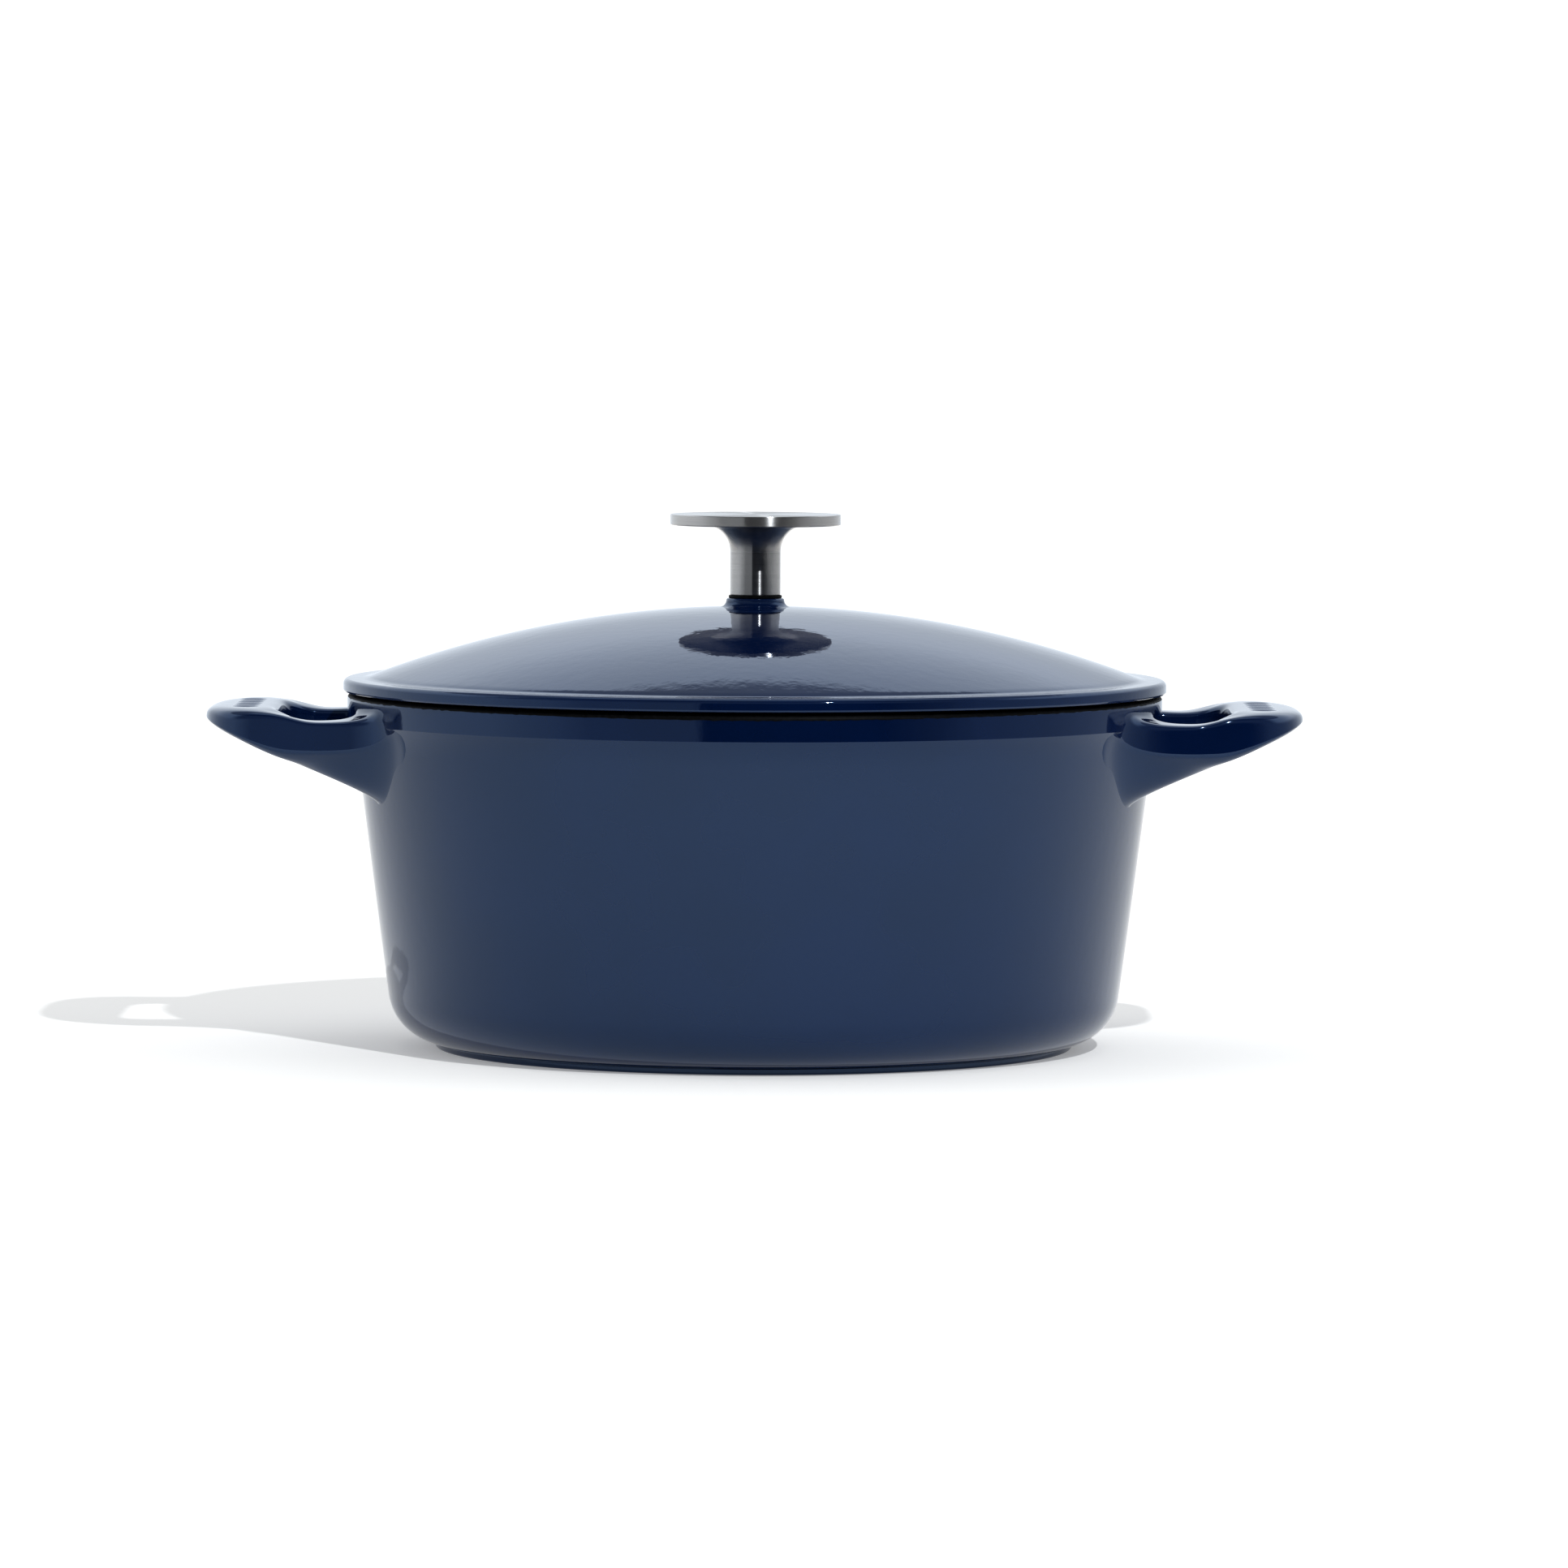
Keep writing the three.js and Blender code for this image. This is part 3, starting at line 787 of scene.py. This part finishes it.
def loft_handle():
    sections = [handle_section(inner, outer) for inner, outer in ARM_STATIONS]
    path = root_loops(sections[0], sections[1]) + sections
    bm = bmesh.new()
    crease = bm.edges.layers.float.new("crease_edge")
    first = bmesh.ops.create_circle(bm, segments=len(ROOT), radius=MM)["verts"]
    loop = first
    for vert, point in zip(loop, path[0]):
        vert.co = point * MM
    bmesh.ops.contextual_create(bm, geom=first)
    for points in path[1:]:
        before, loop = loop, extrude_loop(bm, loop, points)
        bm.edges.get((before[PARTING_POINT], loop[PARTING_POINT]))[crease] = PARTING_CREASE
    everything = bm.verts[:] + bm.edges[:] + bm.faces[:]
    bmesh.ops.mirror(bm, geom=everything, axis="Y", merge_dist=1e-5)
    clean(bm)
    return bm


def handle_piece(name, side):
    bm = loft_handle()
    bmesh.ops.scale(bm, vec=(side, 1, 1), verts=bm.verts)
    clean(bm)
    piece = place(bm, name, "pot", POT_NAVY, "pot")
    smooth = piece.modifiers.new("fillets", "SUBSURF")
    smooth.levels = smooth.render_levels = 3


handle_piece("loop_handle_right", 1)
handle_piece("loop_handle_left", -1)


# %% [markdown]
# The top of each grip carries a row of low ribs for the thumbs. They are cast in and then enamelled
# over, so they are soft lozenges that barely stand out. One squashed sphere, copied in a loop and more
# than half sunk in the grip, is enough.

# %% Grip ribs
RIB_PITCH, RIBS = 9.5, 6
RIB_SIZE = (5.6, 2.9, 0.9)
RIB_REACH, RIB_SINK = 169.5, 0.55


def grip_ribs(side):
    bm = bmesh.new()
    for i in range(RIBS):
        y = (i - (RIBS - 1) / 2) * RIB_PITCH
        rib = bmesh.ops.create_uvsphere(bm, u_segments=20, v_segments=12, radius=MM)["verts"]
        bmesh.ops.scale(bm, vec=RIB_SIZE, verts=rib)
        bmesh.ops.translate(bm, vec=Vector((side * RIB_REACH, y, GRIP_TOP - RIB_SINK)) * MM, verts=rib)
    clean(bm)
    return bm


for side, word in ((1, "right"), (-1, "left")):
    place(grip_ribs(side), f"grip_ribs_{word}", "pot", POT_NAVY)

# %% [markdown]
# ## The lid
#
# The lid is a shallow dome, part of a sphere 363 mm in radius. It runs into a flat flange through a
# hollow curve, and a round boss at the top carries the knob. Under the flange a lip drops inside the pot
# and keeps the lid centred. The corner list gives the dome as one corner with a very large rounding.

# %% Lid
LID_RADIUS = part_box("lid")[1].x / MM
LID_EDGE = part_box("lid_rim_coat")[0].z / MM + 0.2
FLANGE_TOP = 123.8
DOME_TOP, DOME_RADIUS = 148.0, 363.0
LID_WALL = 4.2
LIP_OUTER, LIP_INNER, LIP_BOTTOM = 129.6, 126.0, 114.0
BOSS_RADIUS, BOSS_TOP = 9.7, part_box("lid")[1].z / MM
FLANGE_HOLLOW = 9.0
BOSS_FOOT = math.radians(2.1)
RISE_TO_DOME = FLANGE_TOP + FLANGE_HOLLOW + DOME_RADIUS - DOME_TOP
DOME_EDGE = math.acos(RISE_TO_DOME / (DOME_RADIUS + FLANGE_HOLLOW))
UNDER_EDGE = math.radians(19.2)
FLANGE_ROUND = 1.8
BORE_RADIUS, PAD_RADIUS, PAD_BOTTOM = 3.4, 11, 141.6
LINING_START = 12.5


def dome_corner(start, end, depth=0.0):
    """The corner whose rounding is the dome's arc between two angles from the axis, at a depth."""
    half = (end - start) / 2
    reach = (DOME_RADIUS - depth) / math.cos(half)
    middle = start + half
    height = DOME_TOP - DOME_RADIUS + reach * math.cos(middle)
    return (reach * math.sin(middle), height, DOME_RADIUS - depth)


def dome_tangent(radius, angle, depth=0.0):
    """Height at a radius of the straight line that touches the dome at an angle."""
    size = DOME_RADIUS - depth
    touch = DOME_TOP - DOME_RADIUS + size * math.cos(angle)
    return touch + (size * math.sin(angle) - radius) * math.tan(angle)


def lid_dome():
    edge = dome_tangent(0, DOME_EDGE)
    flange_corner = (edge - FLANGE_TOP) / math.tan(DOME_EDGE)
    depth = LID_WALL - LINING
    return turned(
        [
            (BORE_RADIUS, BOSS_TOP, 0),
            (BOSS_RADIUS, BOSS_TOP, 0.8),
            (BOSS_RADIUS + 0.1, dome_tangent(BOSS_RADIUS + 0.1, BOSS_FOOT), 2.4),
            dome_corner(BOSS_FOOT, DOME_EDGE),
            (flange_corner, FLANGE_TOP, FLANGE_HOLLOW - 0.01),
            (LID_RADIUS, FLANGE_TOP, FLANGE_ROUND),
            (LID_RADIUS, LID_EDGE, 0.8),
            (LIP_OUTER + 0.6, LID_EDGE + 0.1, 1.2),
            (LIP_OUTER, LIP_BOTTOM, 1.2),
            (LIP_INNER + LINING, LIP_BOTTOM, 1.2),
            (LIP_INNER + LINING, dome_tangent(LIP_INNER + LINING, UNDER_EDGE, depth), 4),
            dome_corner(BOSS_FOOT, UNDER_EDGE, depth),
            (12, dome_tangent(12, BOSS_FOOT, depth), 0.5),
            (PAD_RADIUS, PAD_BOTTOM, 0.5),
            (BORE_RADIUS, PAD_BOTTOM, 0),
        ],
        segments=256,
        closed=True,
    )


place(lid_dome(), "lid_dome", "lid", LID_NAVY, "lid")


# %% [markdown]
# Under the dome the lid is lined with the same cream enamel as the pot. The flange and the lip wear the
# black ground coat, because enamel on a seat would chip.

# %% Lid lining and rim coat
def lid_lining():
    inner, outer = LID_WALL, LID_WALL - LINING + LINING_STANDOFF
    return turned(
        [
            (LINING_START, dome_tangent(LINING_START, BOSS_FOOT, inner), 0),
            dome_corner(BOSS_FOOT, UNDER_EDGE, inner),
            (LIP_INNER, dome_tangent(LIP_INNER, UNDER_EDGE, inner), 4),
            (LIP_INNER, LIP_BOTTOM + 1.2, 0.2),
            (LIP_INNER + LINING - LINING_STANDOFF, LIP_BOTTOM + 1.2, 0),
            (LIP_INNER + LINING - LINING_STANDOFF, dome_tangent(LIP_INNER + LINING, UNDER_EDGE, outer), 4),
            dome_corner(BOSS_FOOT, UNDER_EDGE, outer),
            (LINING_START, dome_tangent(LINING_START, BOSS_FOOT, outer), 0),
        ],
        closed=True,
    )


def lid_rim_coat():
    return turned(
        [
            (LID_RADIUS - 1.3, LID_EDGE - COAT_SKIN, 0),
            (LIP_OUTER + 0.6 + COAT_SKIN, LID_EDGE - COAT_SKIN + 0.1, 1.2),
            (LIP_OUTER + COAT_SKIN, LIP_BOTTOM - COAT_SKIN, 1.2),
            (LIP_INNER - COAT_SKIN, LIP_BOTTOM - COAT_SKIN, 1.2),
            (LIP_INNER - COAT_SKIN, LIP_BOTTOM + 2.2, 0),
            (LIP_INNER + 1.2, LIP_BOTTOM + 2, 0),
            (LIP_OUTER - 1, LID_EDGE + 0.8, 0),
            (LID_RADIUS - 1.5, LID_EDGE + 0.5, 0),
        ],
        segments=720,
        closed=True,
    )


place(lid_lining(), "lid_lining_enamel", "lid", CREAM, "lid_lining")
place(lid_rim_coat(), "lid_rim_ground_coat", "lid", GROUND_COAT, "lid_rim_coat")

# %% [markdown]
# ## The knob and its fastener
#
# The knob is one piece of steel: a thin disc on a stem, joined by a flare of about nine millimetres
# radius. A thin dark washer seats it on the boss. Inside the lid a pan-head screw with a slot pulls it
# down over a split spring washer, a ring of square wire with a gap and a slight twist.

# %% Knob
KNOB_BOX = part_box("knob")
DISC_RADIUS = KNOB_BOX[1].x / MM
KNOB_TOP, STEM_BOTTOM = KNOB_BOX[1].z / MM, KNOB_BOX[0].z / MM
DISC_UNDER = KNOB_TOP - 3.6
STEM_RADIUS, FLARE_RADIUS, KNOB_EDGE = 8.45, 9, 0.35
THREAD_RADIUS, DRILL_TIP, DRILL_SIDE = 3.3, STEM_BOTTOM + 15, STEM_BOTTOM + 13.5
SEAT_RADIUS, SEAT_SPREAD = 8.9, 0.25  # the seat washer nearly fills the gaps above and below it


def steel_knob():
    return turned(
        [
            (THREAD_RADIUS, STEM_BOTTOM, 0),
            (STEM_RADIUS, STEM_BOTTOM, KNOB_EDGE),
            (STEM_RADIUS, DISC_UNDER, FLARE_RADIUS),
            (DISC_RADIUS, DISC_UNDER, KNOB_EDGE),
            (DISC_RADIUS, KNOB_TOP, KNOB_EDGE),
            (0, KNOB_TOP, 0),
            (0, DRILL_TIP, 0),
            (THREAD_RADIUS, DRILL_SIDE, 0.4),
        ],
        segments=160,
        closed=True,
    )


def seat_washer():
    low, high = (corner.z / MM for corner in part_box("knob_seat_washer"))
    return turned(
        [
            (BORE_RADIUS, low - SEAT_SPREAD, 0),
            (SEAT_RADIUS, low - SEAT_SPREAD, 0.2),
            (SEAT_RADIUS, high + SEAT_SPREAD, 0.2),
            (BORE_RADIUS, high + SEAT_SPREAD, 0),
        ],
        segments=96,
        closed=True,
    )


place(steel_knob(), "steel_knob", "lid", KNOB_STEEL, "knob")
place(seat_washer(), "seat_washer", "lid", GROUND_COAT, "knob_seat_washer")


# %% [markdown]
# The screw's slot is a real cut. The screw is turned first, and then the slot is milled with a boolean
# modifier that is applied at once, which leaves plain mesh behind.

# %% Screw and spring washer
SCREW_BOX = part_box("knob_screw")
HEAD_RADIUS = SCREW_BOX[1].x / MM
HEAD_BOTTOM, SHANK_TOP = SCREW_BOX[0].z / MM, SCREW_BOX[1].z / MM
HEAD_HEIGHT, SLOT_WIDTH, SLOT_DEPTH = 3.2, 1.4, 1.5
SHANK_RADIUS = 3
WASHER_BORE, WASHER_RADIUS, WASHER_TWIST = 3.3, 5.6, 0.25
WASHER_GAP = math.radians(10)
TWIST_START = 0.01  # radians, so that the washer's first corners count as the start of its turn


def knob_screw():
    return turned(
        [
            (0, HEAD_BOTTOM, 0),
            (HEAD_RADIUS, HEAD_BOTTOM, 1.6),
            (HEAD_RADIUS, HEAD_BOTTOM + HEAD_HEIGHT, 0.3),
            (SHANK_RADIUS, HEAD_BOTTOM + HEAD_HEIGHT, 0.3),
            (SHANK_RADIUS, SHANK_TOP, 0.8),
            (0, SHANK_TOP, 0),
        ],
        segments=64,
    )


def cut_slot(piece):
    bm = bmesh.new()
    box = bmesh.ops.create_cube(bm, size=1)["verts"]
    bmesh.ops.scale(bm, vec=Vector((4 * HEAD_RADIUS, SLOT_WIDTH, 2 * SLOT_DEPTH)) * MM, verts=box)
    bmesh.ops.translate(bm, vec=(0, 0, HEAD_BOTTOM * MM), verts=box)
    mesh = bpy.data.meshes.new("slot_cutter")
    bm.to_mesh(mesh)
    bm.free()
    cutter = bpy.data.objects.new("slot_cutter", mesh)
    bpy.context.scene.collection.objects.link(cutter)
    cut = piece.modifiers.new("slot", "BOOLEAN")
    cut.operation, cut.object, cut.solver = "DIFFERENCE", cutter, "EXACT"
    bpy.context.view_layer.update()
    evaluated = piece.evaluated_get(bpy.context.evaluated_depsgraph_get())
    piece.data = bpy.data.meshes.new_from_object(evaluated)
    piece.modifiers.remove(cut)
    bpy.data.objects.remove(cutter)


def spring_washer():
    """A ring of square wire, cut once, with one end lifted by a fraction of a millimetre."""
    low, high = (corner.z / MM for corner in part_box("knob_spring_washer"))
    bm = bmesh.new()
    corners = [(WASHER_BORE, low), (WASHER_RADIUS, low), (WASHER_RADIUS, high), (WASHER_BORE, high)]
    square = bmesh.ops.create_circle(bm, segments=4, radius=MM, cap_ends=True)
    for vert, (r, z) in zip(square["verts"], corners):
        vert.co = Vector((r, 0, z)) * MM
    bmesh.ops.spin(
        bm,
        geom=bm.verts[:] + bm.edges[:] + bm.faces[:],
        cent=(0, 0, 0),
        axis=(0, 0, 1),
        angle=math.tau - WASHER_GAP,
        steps=72,
    )
    for v in bm.verts:
        turn = (math.atan2(v.co.y, v.co.x) + TWIST_START) % math.tau / math.tau
        v.co.z += WASHER_TWIST * turn * MM
    clean(bm)
    return bm


screw = place(knob_screw(), "knob_screw_slotted", "lid", SCREW_STEEL, "knob_screw")
cut_slot(screw)
place(spring_washer(), "split_spring_washer", "lid", SCREW_STEEL, "knob_spring_washer")

# %% [markdown]
# ## The size against the CAD model
#
# The visual model is meant to fill the same box as the CAD model. The script prints how far each corner of
# its box lies from the CAD box's, in millimetres.

# %% Size
MADE_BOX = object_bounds()
grown = [round((m - c) / MM, 2) for m, c in zip((*MADE_BOX[0], *MADE_BOX[1]), (*CAD_BOX[0], *CAD_BOX[1]))]
print("made box less CAD box, mm:", grown)
